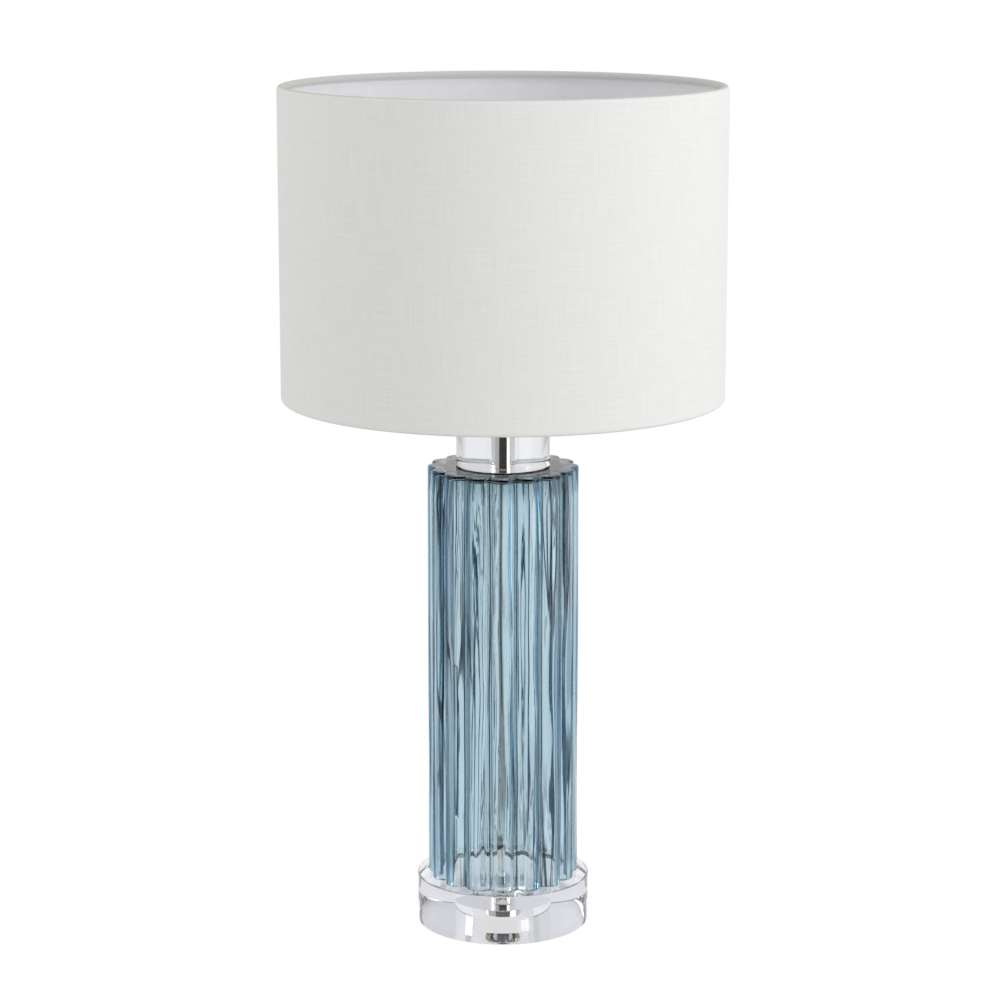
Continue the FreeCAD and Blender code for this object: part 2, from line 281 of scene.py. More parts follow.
class Surface(Tree):
    """A material with one Principled shader."""

    # How much denser a clear body is than its strongest colour needs.
    DENSER = 1.25

    def __init__(self, name: str) -> None:
        """Args:
            name: the material's name.
        """
        self.material = bpy.data.materials.new(name)
        self.material.use_nodes = True
        super().__init__(self.material.node_tree)
        self.shader = self.node("ShaderNodeBsdfPrincipled")
        self.output = self.node("ShaderNodeOutputMaterial", None, {"Surface": self.out(self.shader)})

    def place(self, stretch: Sequence[float] = (1.0, 1.0, 1.0), uv: bool = False) -> Sock:
        """Args:
            stretch: a factor for each axis.
            uv: whether the piece's own UV is used instead of its place.

        Returns:
            The pattern's vector, in metres times stretch.
        """
        where = self.out(self.node("ShaderNodeTexCoord"), "UV" if uv else "Object")
        return self.vector("MULTIPLY", where, stretch)

    def set(self, **values: Union[Sock, float, Sequence[float]]) -> None:
        """Args:
            values: the shader's sockets, with _ for a space, and their values.
        """
        for key, value in values.items():
            socket = self.shader.inputs[key.replace("_", " ")]
            if isinstance(value, Sock):
                self.tree.links.new(value.socket, socket)
            else:
                socket.default_value = value

    def bump(self, height: Sock, distance: float, strength: float = 1.0) -> None:
        """Args:
            height: the relief, from 0 to 1.
            distance: its depth in metres.
            strength: how much of it shows.
        """
        inputs = {"Height": height, "Distance": distance, "Strength": strength}
        self.set(Normal=self.out(self.node("ShaderNodeBump", None, inputs)))

    def absorb(self, per_metre: Colour) -> None:
        """Args:
            per_metre: how much red, green and blue a metre of the body takes up.
        """
        density = max(per_metre) * self.DENSER
        colour = (*[1 - taken / density for taken in per_metre], 1.0)
        volume = self.node("ShaderNodeVolumeAbsorption", None, {"Color": colour, "Density": density})
        self.tree.links.new(volume.outputs[0], self.output.inputs["Volume"])


# ---- Finishes ----

# Most of a noise's values lie between these.
MOST_NOISE: Pair = (0.3, 0.7)


@dataclass(frozen=True)
class Finish:
    """What every finish has."""

    name: str

    def build(self) -> bpy.types.Material:
        """Returns:
            The material.
        """
        surface = Surface(self.name)
        self.paint(surface)
        return surface.material

    def paint(self, surface: Surface) -> None:
        """Args:
            surface: the material to fill.
        """
        raise NotImplementedError


@dataclass(frozen=True)
class ClearAcrylic(Finish):
    """Polished clear acrylic, faintly grey through its thickness, with a soft polishing ripple."""

    ior: float = 1.49
    tint: Colour = (0.985, 0.985, 0.99)
    taken: Colour = (2.0, 1.9, 1.5)
    ripple: Triple = (14.0, 14.0, 30.0)
    relief: Pair = (0.0002, 0.25)

    def paint(self, surface: Surface) -> None:
        """Args:
            surface: the material to fill.
        """
        surface.bump(surface.noise(surface.place(self.ripple), detail=1.0), *self.relief)
        surface.set(Base_Color=(*self.tint, 1), Roughness=0.0, IOR=self.ior, Transmission_Weight=1.0)
        surface.absorb(self.taken)


@dataclass(frozen=True)
class BlueGlass(Finish):
    """Drawn blue glass: tinted through its wall, with soft draw lines, dark lines painted up its grooves and
    between them as painted shade, and painted shade towards its top.
    """

    ior: float = 1.5
    skin: Colour = (0.97, 0.98, 0.985)
    # The near-black colour of the painted shade lines and the painted darkening at the top.
    line_shade: Colour = (0.006, 0.016, 0.022)
    taken: Colour = (70.0, 38.0, 25.0)
    relief: Pair = (0.0002, 0.3)
    # How tightly each pattern is packed, across the glass and up it.
    draw_lines: Triple = (260.0, 260.0, 4.0)
    waver: Triple = (30.0, 30.0, 9.0)
    threads: Triple = (90.0, 90.0, 3.2)
    fading: Triple = (16.0, 16.0, 8.0)
    # How far the painted shade lines waver, in lobes, and between which values each pattern comes or goes.
    waver_reach: float = 0.05
    groove_edge: Pair = (0.017, 0.032)
    thread_edge: Pair = (0.012, 0.022)
    fade_edge: Pair = (0.4, 0.6)
    top_edge: Pair = (0.352, 0.378)
    top_painted_shade: float = 0.35

    def paint(self, surface: Surface) -> None:
        """Args:
            surface: the material to fill.
        """
        surface.bump(surface.noise(surface.place(self.draw_lines), detail=3.0), *self.relief)
        # Painted shade: a dark line runs up each groove; thinner ones wander between them and fade in and
        # out.
        around, _, _ = surface.separate(surface.place(uv=True))
        waver = surface.noise(surface.place(self.waver), detail=2.0) - 0.5
        off = abs(surface.math("FRACT", around + waver * self.waver_reach) - 0.5)
        groove = surface.remap(off + abs(waver) * self.waver_reach, self.groove_edge, (1.0, 0.0), True)
        thread = abs(surface.noise(surface.place(self.threads), detail=1.0) - 0.5)
        thread = surface.remap(thread, self.thread_edge, (1.0, 0.0), True)
        fade = surface.noise(surface.place(self.fading), detail=1.0)
        fade = surface.remap(fade, self.fade_edge, (0.0, 1.0), True)
        # Painted shade: the glass is painted darker towards its top.
        _, _, level = surface.separate(surface.place())
        top = surface.remap(level, self.top_edge, (0.0, self.top_painted_shade), True)
        painted_shade = surface.greatest(groove, thread * fade, top)
        surface.set(Base_Color=surface.mix(painted_shade, self.skin, self.line_shade), Roughness=0.0, IOR=self.ior)
        surface.set(Transmission_Weight=1.0)
        surface.absorb(self.taken)


@dataclass(frozen=True)
class Metal(Finish):
    """Plated or bare metal with fine lines along one direction and cloudy wear."""

    colour: Colour
    worn: Colour
    rough: Pair = (0.2, 0.35)
    grain: Triple = (300.0, 300.0, 9000.0)
    clouds: Triple = (90.0, 90.0, 60.0)
    share: Pair = (0.6, 0.4)
    depth: float = 0.00001
    shows: float = 0.4

    def paint(self, surface: Surface) -> None:
        """Args:
            surface: the material to fill.
        """
        lines = surface.noise(surface.place(self.grain), detail=2.0)
        cloud = surface.noise(surface.place(self.clouds), detail=3.0)
        surface.set(Base_Color=surface.mix(cloud, self.colour, self.worn), Metallic=1.0)
        both = lines * self.share[0] + cloud * self.share[1]
        surface.set(Roughness=surface.remap(both, MOST_NOISE, self.rough))
        surface.bump(lines, self.depth, self.shows)


@dataclass(frozen=True)
class Moulded(Finish):
    """Moulded plastic, ceramic, rubber or paint: a fine skin with slightly uneven colour and gloss."""

    colour: Colour
    shade: Colour
    rough: Pair = (0.3, 0.42)
    pores: float = 2600.0
    depth: float = 0.00002
    coat: float = 0.0
    clear: float = 0.0
    coat_rough: float = 0.06
    clouds: float = 70.0
    share: Pair = (0.7, 0.3)
    shows: float = 0.5

    def paint(self, surface: Surface) -> None:
        """Args:
            surface: the material to fill.
        """
        skin = surface.noise(surface.place(), self.pores, detail=1.0)
        cloud = surface.noise(surface.place(), self.clouds, detail=3.0)
        tone = surface.remap(cloud, MOST_NOISE, (0.0, 1.0))
        both = cloud * self.share[0] + skin * self.share[1]
        surface.set(Base_Color=surface.mix(tone, self.colour, self.shade))
        surface.set(Roughness=surface.remap(both, MOST_NOISE, self.rough))
        surface.set(Coat_Weight=self.coat, Coat_Roughness=self.coat_rough, Transmission_Weight=self.clear)
        surface.bump(skin, self.depth, self.shows)


@dataclass(frozen=True)
class Linen(Finish):
    """Fine plain-woven linen: crossed threads, thick and thin, with slubs along both directions."""

    thread: Colour
    gap: Colour
    # Painted shade for the inner side of the rolled hems.
    roll_shade: Colour = (0.62, 0.62, 0.59)
    tail: Colour = (0.85, 0.85, 0.865)
    # The distance between threads in millimetres, and how far they stray, in threads.
    pitch: float = 0.62
    uneven: float = 0.35
    weft_stray: float = 1.3
    stray: Triple = (160.0, 160.0, 1.0)
    warp_slubs: Triple = (1500.0, 28.0, 1.0)
    weft_slubs: Triple = (28.0, 1500.0, 1.0)
    slub_detail: Pair = (2.0, 0.6)
    slub_span: Pair = (0.32, 0.68)
    tone_share: Pair = (0.75, 0.25)
    relief_share: Pair = (0.4, 0.6)
    depth: float = 0.00008
    shows: float = 0.6
    rough: float = 0.9
    sheen: Pair = (0.08, 0.5)
    shine: float = 0.15
    # In metres: where the outside of the drum begins, where its middle is, and how far from that the hems
    # roll in.
    inside_edge: Pair = (0.1733, 0.1743)
    drum_middle: float = 0.5547
    roll_edge: Pair = (0.1172, 0.1182)

    def paint(self, surface: Surface) -> None:
        """Args:
            surface: the material to fill.
        """
        place = surface.place(uv=True)
        across, along, _ = surface.separate(place)
        wave = 2 * math.pi / (self.pitch * MM)
        stray = surface.noise(surface.vector("MULTIPLY", place, self.stray), detail=2.0)
        shift = stray * (self.uneven * 2 * math.pi)
        warp = surface.math("SINE", across * wave + shift)
        weft = surface.math("SINE", along * wave + shift * self.weft_stray)
        relief = (warp * weft) * 0.25 + 0.5
        slub: Value = 0.0
        for slubs in (self.warp_slubs, self.weft_slubs):
            packed = surface.vector("MULTIPLY", place, slubs)
            slub = surface.noise(packed, 1.0, *self.slub_detail) * 0.5 + slub
        tone = surface.remap(slub, self.slub_span, (0.0, 1.0))
        tone = tone * self.tone_share[0] + relief * self.tone_share[1]
        # Painted shade: the cloth rolled in over the wires is painted darker on its inner side, where it lies
        # in shade inside the drum. Its glued tail is pale.
        east, north, level = surface.separate(surface.place())
        outside = surface.remap(surface.reach(east, north), self.inside_edge, (0.0, 1.0), True)
        rolled = surface.remap(abs(level - self.drum_middle), self.roll_edge, (0.0, 1.0), True)
        inner = surface.mix(rolled, self.tail, self.roll_shade)
        cloth = surface.mix(tone, self.gap, self.thread)
        surface.set(Base_Color=surface.mix(outside, inner, cloth), Roughness=self.rough)
        surface.set(Sheen_Weight=self.sheen[0], Sheen_Roughness=self.sheen[1], Specular_IOR_Level=self.shine)
        surface.bump(relief * self.relief_share[0] + slub * self.relief_share[1], self.depth, self.shows)


def finishes() -> Looks:
    """Returns:
        A material for each material slot of the record.
    """
    white, off_white = (0.82, 0.82, 0.80), (0.77, 0.77, 0.745)
    brass, old_brass = (0.78, 0.58, 0.28), (0.62, 0.42, 0.18)
    made = [
        ClearAcrylic("clear_acrylic"),
        BlueGlass("blue_glass"),
        Metal("polished_nickel", (0.80, 0.78, 0.74), (0.77, 0.745, 0.70), (0.04, 0.08), depth=0.000002),
        Metal("zinc_steel", (0.60, 0.61, 0.63), (0.46, 0.47, 0.49), (0.2, 0.34)),
        Metal("brass", brass, old_brass, (0.18, 0.34)),
        Metal("bulb_metal", (0.80, 0.80, 0.81), (0.66, 0.66, 0.67), (0.22, 0.36)),
        Moulded("holder_plastic", white, off_white),
        Moulded("switch_plastic", (0.84, 0.84, 0.82), off_white, (0.2, 0.3), coat=0.2),
        Moulded("holder_ceramic", (0.74, 0.72, 0.68), (0.66, 0.64, 0.60), (0.5, 0.7), 1800, 0.00004),
        Moulded("white_wire", (0.85, 0.85, 0.84), (0.78, 0.78, 0.77), (0.32, 0.5), 1200, 0.00006, 0.15),
        Moulded("shade_lining", (0.85, 0.85, 0.865), (0.82, 0.82, 0.835), (0.6, 0.8), 900, 0.00003),
        Moulded("clear_silicone", (0.93, 0.93, 0.94), (0.9, 0.9, 0.91), (0.08, 0.2), 1500, 0.00001, 0, 0.95),
        Moulded("black_rubber", (0.012, 0.012, 0.014), (0.02, 0.02, 0.022), (0.5, 0.7), 1400, 0.00004),
        Moulded("black_glass", (0.02, 0.02, 0.022), (0.035, 0.035, 0.035), (0.06, 0.14), 400, 0.00002),
        Moulded("bulb_plastic", white, off_white, (0.26, 0.36), 2200),
        Moulded("opal_glass", (0.86, 0.86, 0.85), (0.82, 0.82, 0.81), (0.18, 0.26), 500, 0.00001, 0.4),
        Linen("shade_linen", (0.87, 0.865, 0.85), (0.75, 0.745, 0.72)),
    ]
    return {finish.name: finish.build() for finish in made}


# ---- Meshes ----

# Edges that bend by more than this many degrees stay sharp.
SHARP = 35.0
DRILL_SIDES = 48


def outward(faces: List[Face], points: np.ndarray) -> List[Face]:
    """Turns all faces of a closed mesh outward.

    Args:
        faces: corner indices.
        points: the corners' places.

    Returns:
        The faces, reversed if they enclosed a negative volume.
    """
    volume = 0.0
    for face in faces:
        first = points[face[0]]
        for second, third in zip(face[1:-1], face[2:]):
            volume += float(np.dot(first, np.cross(points[second], points[third])))
    return faces if volume > 0 else [tuple(reversed(face)) for face in faces]


def walls(rings: int, around: int, closed: bool) -> List[Face]:
    """Joins rings of points with four-cornered faces.

    Args:
        rings: how many rings there are.
        around: how many points each has.
        closed: whether the last ring is joined to the first.

    Returns:
        The faces, ring by ring.
    """
    faces: List[Face] = []
    for ring in range(rings if closed else rings - 1):
        here, after = ring * around, (ring + 1) % rings * around
        for step in range(around):
            onward = (step + 1) % around
            faces.append((here + step, here + onward, after + onward, after + step))
    return faces


def mesh_object(name: str, points: np.ndarray, faces: List[Face], sharp: float = SHARP) -> bpy.types.Object:
    """Args:
        name: the piece's name.
        points: its corners in metres.
        faces: corner indices, facing outward.
        sharp: edges that bend by more than this many degrees stay sharp.

    Returns:
        A smooth-shaded object at the origin.
    """
    mesh = bpy.data.meshes.new(name)
    mesh.from_pydata([tuple(point) for point in points], [], faces)
    mesh.update()
    piece = bpy.data.objects.new(name, mesh)
    bpy.context.scene.collection.objects.link(piece)
    smooth(piece, sharp)
    return piece


def smooth(piece: bpy.types.Object, sharp: float) -> None:
    """Args:
        piece: a mesh object.
        sharp: the angle in degrees from which edges stay sharp.
    """
    piece.data.polygons.foreach_set("use_smooth", [True] * len(piece.data.polygons))
    piece.data.set_sharp_from_angle(angle=math.radians(sharp))
    piece.data.update()


def rounded(corners: Sequence[Triple], steps: int = 6) -> List[Pair]:
    """Rounds the corners of a closed outline.

    Args:
        corners: radius, level and rounding of each corner, in millimetres.
        steps: points along each rounding.

    Returns:
        The outline's points.
    """
    outline: List[Pair] = []
    for index, (x, y, radius) in enumerate(corners):
        here = np.array([x, y], float)
        before = np.array(corners[index - 1][:2], float) - here
        after = np.array(corners[(index + 1) % len(corners)][:2], float) - here
        before /= np.linalg.norm(before)
        after /= np.linalg.norm(after)
        if radius <= 0:
            outline.append((x, y))
            continue
        half = math.acos(float(np.clip(before @ after, -1, 1))) / 2
        middle = (before + after) / np.linalg.norm(before + after)
        centre = here + middle * radius / math.sin(half)
        start = here + before * radius / math.tan(half) - centre
        end = here + after * radius / math.tan(half) - centre
        turn = math.atan2(start[0] * end[1] - start[1] * end[0], float(start @ end))
        for step in range(steps + 1):
            angle = turn * step / steps
            spin = np.array([[math.cos(angle), -math.sin(angle)], [math.sin(angle), math.cos(angle)]])
            outline.append(tuple(centre + spin @ start))
    return outline


def lathe(name: str, outline: Sequence[Pair], around: int, sharp: float = SHARP) -> bpy.types.Object:
    """Turns a closed outline round the upright axis.

    Args:
        name: the piece's name.
        outline: radius and level of each point in millimetres. Radius 0 makes a pole.
        around: how many steps the turn has.
        sharp: the angle in degrees from which edges stay sharp.

    Returns:
        The closed piece, with its own UV in metres round and along the outline.
    """
    points: List[Triple] = []
    rings: List[List[int]] = []
    for radius, level in outline:
        start = len(points)
        count = 1 if radius == 0 else around
        for step in range(count):
            angle = 2 * math.pi * step / around
            points.append((radius * math.cos(angle) * MM, radius * math.sin(angle) * MM, level * MM))
        rings.append([start + step % count for step in range(around)])
    faces: List[Face] = []
    uvs: List[List[Pair]] = []
    reach = max(radius for radius, _ in outline) * MM
    along = 0.0
    for index, ring in enumerate(rings):
        after = rings[(index + 1) % len(rings)]
        length = math.dist(outline[index], outline[(index + 1) % len(outline)]) * MM
        for step in range(around):
            onward = (step + 1) % around
            left, right = (place / around * 2 * math.pi * reach for place in (step, step + 1))
            corners = [(ring[step], (left, along)), (ring[onward], (right, along))]
            corners += [(after[onward], (right, along + length)), (after[step], (left, along + length))]
            kept = [corner for place, corner in enumerate(corners) if corner[0] != corners[place - 1][0]]
            if len(kept) > 2:
                faces.append(tuple(corner[0] for corner in kept))
                uvs.append([corner[1] for corner in kept])
        along += length
    array = np.array(points)
    turned = outward(faces, array)
    if turned is not faces:
        uvs = [list(reversed(corners)) for corners in uvs]
    piece = mesh_object(name, array, turned, sharp)
    layer = piece.data.uv_layers.new(name="weave")
    layer.uv.foreach_set("vector", [value for corners in uvs for corner in corners for value in corner])
    return piece


def bore(piece: bpy.types.Object, radius: float, level: float, start: float, end: float) -> None:
    """Cuts a round hole along +Y into a piece.

    Args:
        piece: a closed mesh.
        radius: the hole's radius.
        level: its height.
        start, end: where it begins and ends along Y, all in millimetres.
    """
    made = bmesh.new()
    across = {"radius1": radius * MM, "radius2": radius * MM}
    bmesh.ops.create_cone(made, cap_ends=True, segments=DRILL_SIDES, depth=(end - start) * MM, **across)
    mesh = bpy.data.meshes.new("drill")
    made.to_mesh(mesh)
    made.free()
    drill = bpy.data.objects.new("drill", mesh)
    drill.rotation_euler = (math.radians(90), 0, 0)
    drill.location = (0, (start + end) / 2 * MM, level * MM)
    bpy.context.scene.collection.objects.link(drill)
    modifier = piece.modifiers.new("cut", "BOOLEAN")
    modifier.operation, modifier.object, modifier.solver = "DIFFERENCE", drill, "EXACT"
    settle(piece)
    bpy.data.objects.remove(drill)


def settle(piece: bpy.types.Object) -> None:
    """Turns a piece's modifiers into plain mesh.

    Args:
        piece: the object to settle.
    """
    bpy.context.view_layer.update()
    graph = bpy.context.evaluated_depsgraph_get()
    mesh = bpy.data.meshes.new_from_object(piece.evaluated_get(graph), depsgraph=graph)
    piece.modifiers.clear()
    old, piece.data = piece.data, mesh
    bpy.data.meshes.remove(old)
    mesh.name = piece.name


class Rule(Tree):
    """A Geometry Nodes group with named inputs, which is made on a piece and then settled."""

    KINDS = (
        (float, "NodeSocketFloat"), (int, "NodeSocketInt"), (tuple, "NodeSocketVector"),
        (bpy.types.Material, "NodeSocketMaterial"),
    )

    def __init__(self, name: str, values: Dict[str, object]) -> None:
        """Args:
            name: the group's name.
            values: each input's name and value. The value's type says which kind of socket it gets.
        """
        super().__init__(bpy.data.node_groups.new(name, "GeometryNodeTree"))
        self.values = values
        face = self.tree.interface
        face.new_socket("Geometry", in_out="INPUT", socket_type="NodeSocketGeometry")
        for key, value in values.items():
            kind = next(kind for held, kind in self.KINDS if isinstance(value, held))
            face.new_socket(key, in_out="INPUT", socket_type=kind)
        face.new_socket("Geometry", in_out="OUTPUT", socket_type="NodeSocketGeometry")
        self.given = self.node("NodeGroupInput")

    def take(self, name: str) -> Sock:
        """Gives the input called name."""
        return self.out(self.given, name)

    def named(self, name: str) -> Sock:
        """Gives the mesh's own attribute called name."""
        return self.out(self.node("GeometryNodeInputNamedAttribute", {"data_type": "FLOAT"}, {"Name": name}))

    def apply(self, piece: bpy.types.Object, last: bpy.types.Node) -> None:
        """Ends the group with real, painted mesh, and settles it on a piece.

        Args:
            piece: what the group works on.
            last: the node that makes the geometry.
        """
        real = self.node("GeometryNodeRealizeInstances", None, {0: self.out(last)})
        paint = {"Geometry": self.out(real), "Material": self.take("Material")}
        painted = self.node("GeometryNodeSetMaterial", None, paint)
        self.node("NodeGroupOutput", None, {0: self.out(painted)})
        modifier = piece.modifiers.new(self.tree.name, "NODES")
        modifier.node_group = self.tree
        for item in self.tree.interface.items_tree:
            if item.in_out == "INPUT" and item.name in self.values:
                modifier[item.identifier] = self.values[item.name]
        settle(piece)


class Assembly:
    """A group of pieces that ride on one body."""

    body = Body.STAND

    def __init__(self, looks: Looks, size: object) -> None:
        """Args:
            looks: the materials by slot.
            size: the group's sizes.
        """
        self.looks = looks
        self.size = size

    def place(self, piece: bpy.types.Object, slot: str, *nodes: str) -> bpy.types.Object:
        """Gives a new piece its finish, body and the nodes it stands for.

        Args:
            piece: the object.
            slot: its material slot.
            nodes: the nodes it replaces.

        Returns:
            The piece.
        """
        piece.data.materials.clear()
        piece.data.materials.append(self.looks[slot])
        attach(piece, self.body.value)
        if nodes:
            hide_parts(*nodes)
        return piece

    def build(self) -> List[bpy.types.Object]:
        """Makes the group's pieces, in each group's own way."""
        raise NotImplementedError


# ---- Column ----


@dataclass(frozen=True)
class ColumnSize:
    """The fluted glass tube, in millimetres."""

    radius: float = 60.2
    lobe: float = 11.2
    groove: float = 1.2
    lobes: int = 16
    wall: float = 4.2
    bottom: float = 42.3
    top: float = 377.5
    top_thickness: float = 3.0
    rim_round: float = 1.2
    inner_round: float = 2.0
    hole: float = 7.0
    thicker: float = 1.2
    thicker_height: float = 20.0
    gasket: float = 0.8
    gasket_inset: float = 0.6
    gasket_width: float = 3.0
    gap: float = 0.03
    rows: int = 72
    round_steps: int = 6

    @property
    def centre(self) -> float:
        """Returns:
            The radius of the circle that the lobes' centres lie on.
        """
        return self.radius - self.lobe

    @property
    def groove_centre(self) -> float:
        """Returns:
            The radius of the circle that the grooves' centres lie on.
        """
        half = math.pi / self.lobes
        across = self.centre * math.sin(half)
        return self.centre * math.cos(half) + math.sqrt((self.lobe + self.groove) ** 2 - across ** 2)


class GlassColumn(Assembly):
    """The blue glass tube, shaped by a rule in Geometry Nodes."""

    size: ColumnSize
    # Degrees from the crest of a lobe towards its groove, and how far each ring of the top is gathered in.
    HALF_TURNS = (0.0, 1.6, 3.2, 4.7, 6.1, 7.3, 8.4, 9.3, 9.95, 10.3, 10.6, 10.95)
    GATHERS = (0.25, 0.6, 1.0)
    # The rows inside stop this many millimetres below the round under the top.
    CLEAR = 2.0
    GLASS_SHARP = 40.0
    # How tightly each way of wandering is packed, round a circle of radius 1 and per metre up.
    SLOW = (2.2, 2.2, 5.5)
    QUICK = (3.4, 3.4, 11.0)
    SWELL = (2.8, 2.8, 7.0)
    RIBS = (16.0, 16.0, 2.5)
    QUICK_SHARE = 0.5
    # The inside reads its wandering this far from the outside's, and wanders this much more.
    INSIDE_SPOT = 17.0
    INSIDE_MORE = 0.8
    SEED = 3.0
    TUBE_WANDER = {"Drift": 0.04, "Swell": 0.0016, "Ribs": 0.0018}
    GASKET_WANDER = {"Drift": 0.05, "Swell": 0.0, "Ribs": 0.0}

    def turns(self) -> List[float]:
        """Returns:
            The points round one ring as parts of a turn, closer together in the grooves.
        """
        pitch = 360.0 / self.size.lobes
        half = list(self.HALF_TURNS)
        lobe = half + [pitch / 2] + [pitch - angle for angle in reversed(half[1:])]
        return [(index * pitch + angle) / 360.0 for index in range(self.size.lobes) for angle in lobe]

    def rings(self) -> List[Ring]:
        """Returns:
            The rings of the closed tube, up the outside and down the inside.
        """
        size = self.size
        made: List[Ring] = []
        straight = size.top - size.rim_round
        levels = [size.bottom + (straight - size.bottom) * row / size.rows for row in range(size.rows + 1)]
        made += [(level, 0.0, 0.0, 0.0) for level in levels]
        angles = [math.pi / 2 * step / size.round_steps for step in range(size.round_steps + 1)]
        for angle in angles[1:]:
            inset = size.rim_round * (1 - math.cos(angle))
            made.append((straight + size.rim_round * math.sin(angle), inset, 0.0, 0.0))
        made += [(size.top, size.rim_round, gather, 0.0) for gather in self.GATHERS]
        under = size.top - size.top_thickness
        thick = size.wall + size.thicker
        deep = thick + size.inner_round
        made += [(under, deep, gather, 1.0) for gather in reversed(self.GATHERS)]
        for angle in angles:
            inset = thick + size.inner_round * (1 - math.sin(angle))
            made.append((under - size.inner_round * (1 - math.cos(angle)), inset, 0.0, 1.0))
        # The wall thickens a little towards the top.
        low = under - size.inner_round
        for level in reversed(levels):
            if level < low - self.CLEAR:
                rise = min(1.0, max(0.0, (level - low + size.thicker_height) / size.thicker_height))
                made.append((level, size.wall + size.thicker * rise * rise * (3 - 2 * rise), 0.0, 1.0))
        return made

    def flute(self, tree: Rule, turn: Sock, inset: Sock) -> Sock:
        """Args:
            tree: the rule being written.
            turn: each point's part of a turn.
            inset: how far it lies inside the outer wall.

        Returns:
            How far from the axis the wall is there: an arc out at each lobe and an arc in at each groove.
        """
        # Where this point stands in its lobe, from 0 on the lobe's crest to half a pitch in the groove.
        pitch = (2 * math.pi) / tree.take("Lobes")
        local = abs(tree.math("FRACT", turn * tree.take("Lobes") + 0.5) - 0.5) * pitch
        half = pitch * 0.5
        lobe, groove = tree.take("Lobe") - inset, tree.take("Groove") + inset
        centre, far = tree.take("Centre"), tree.take("Groove Centre")
        share = lobe / (lobe + groove)
        meet_x = centre + (far * tree.math("COSINE", half) - centre) * share
        meet_y = far * tree.math("SINE", half) * share
        meet = tree.math("ARCTAN2", meet_y, meet_x)
        rise = centre * tree.math("SINE", local)
        crest = tree.math("SQRT", tree.greatest(lobe * lobe - rise * rise, 0.0))
        crest = centre * tree.math("COSINE", local) + crest
        rest = half - local
        fall = far * tree.math("SINE", rest)
        dip = tree.math("SQRT", tree.greatest(groove * groove - fall * fall, 0.0))
        dip = far * tree.math("COSINE", rest) - dip
        return crest + tree.math("GREATER_THAN", local, meet) * (dip - crest)

    def wander(self, piece: bpy.types.Object, amounts: Dict[str, float]) -> None:
        """Moves a plain ring mesh onto the wandering flutes.

        Args:
            piece: the ring mesh, with its turn, inset, gather and side as attributes.
            amounts: the Drift, Swell and Ribs of this piece.
        """
        size = self.size
        tree = Rule("fluted_rule", {
            "Lobes": float(size.lobes), "Centre": size.centre * MM, "Groove Centre": size.groove_centre * MM,
            "Lobe": size.lobe * MM, "Groove": size.groove * MM, "Hole": size.hole * MM, "Seed": self.SEED,
            **amounts, "Material": self.looks["blue_glass"],
        })
        turn, inset, gather, side = (tree.named(field) for field in ("turn", "inset", "gather", "side"))
        _, _, level = tree.separate(tree.out(tree.node("GeometryNodeInputPosition")))
        angle = turn * (2 * math.pi)
        fluted = self.flute(tree, turn, inset)
        # Hand-drawn glass wanders: slowly up the tube, and differently inside and out.
        east = tree.math("COSINE", angle) + side * self.INSIDE_SPOT + tree.take("Seed")
        spot = tree.combine(east, tree.math("SINE", angle), level)
        slow, quick, swell, ribs = (
            tree.noise(tree.vector("MULTIPLY", spot, packed), detail=1.0) - 0.5
            for packed in (self.SLOW, self.QUICK, self.SWELL, self.RIBS)
        )
        more = side * self.INSIDE_MORE + 1.0
        radius = fluted + swell * tree.take("Swell") * more + ribs * side * tree.take("Ribs")
        radius = radius + gather * (tree.take("Hole") - radius)
        shift = (slow + quick * self.QUICK_SHARE) * tree.take("Drift") * more * (1.0 - gather)
        drawn = angle + shift - math.pi / 2
        place = tree.combine(radius * tree.math("COSINE", drawn), radius * tree.math("SINE", drawn), level)
        move = {"Geometry": tree.take("Geometry"), "Position": place}
        tree.apply(piece, tree.node("GeometryNodeSetPosition", None, move))

    def unroll(self, piece: bpy.types.Object, turns: np.ndarray) -> None:
        """Gives a ring mesh a UV that counts its lobes round and its metres up.

        Args:
            piece: the ring mesh, all of four-cornered faces.
            turns: the part of a turn at each of its points.
        """
        mesh = piece.data
        corners = np.zeros(len(mesh.loops), dtype=int)
        mesh.loops.foreach_get("vertex_index", corners)
        around = turns[corners].reshape(-1, 4)
        wraps = around.max(1) - around.min(1) > 0.5
        around[wraps] += around[wraps] < 0.5
        levels = np.array([mesh.vertices[index].co.z for index in corners])
        layer = mesh.uv_layers.new(name="lobes")
        layer.data.foreach_set("uv", np.stack([around.ravel() * self.size.lobes, levels], 1).ravel())

    def form(self, name: str, rings: List[Ring], amounts: Dict[str, float]) -> bpy.types.Object:
        """Args:
            name: the piece's name.
            rings: its rings in order.
            amounts: how much it wanders.

        Returns:
            The closed fluted form.
        """
        size, turns = self.size, self.turns()
        around = len(turns)
        angle = np.array(turns) * 2 * math.pi - math.pi / 2
        flat = []
        for level, inset, gather, _ in rings:
            radius = (size.radius - inset) * (1 - gather) + size.hole * gather
            flat.append(np.stack([radius * np.cos(angle), radius * np.sin(angle), np.full(around, level)], 1))
        points = np.concatenate(flat) * MM
        piece = mesh_object(name, points, outward(walls(len(rings), around, True), points))
        every = np.tile(turns, len(rings))
        self.unroll(piece, every)
        columns = np.array(rings).repeat(around, 0)
        fields = {"turn": every, "inset": columns[:, 1] * MM, "gather": columns[:, 2], "side": columns[:, 3]}
        for field, data in fields.items():
            made = piece.data.attributes.new(field, "FLOAT", "POINT")
            made.data.foreach_set("value", data.astype(np.float32))
        self.wander(piece, amounts)
        for field in fields:
            piece.data.attributes.remove(piece.data.attributes[field])
        smooth(piece, self.GLASS_SHARP)
        return piece

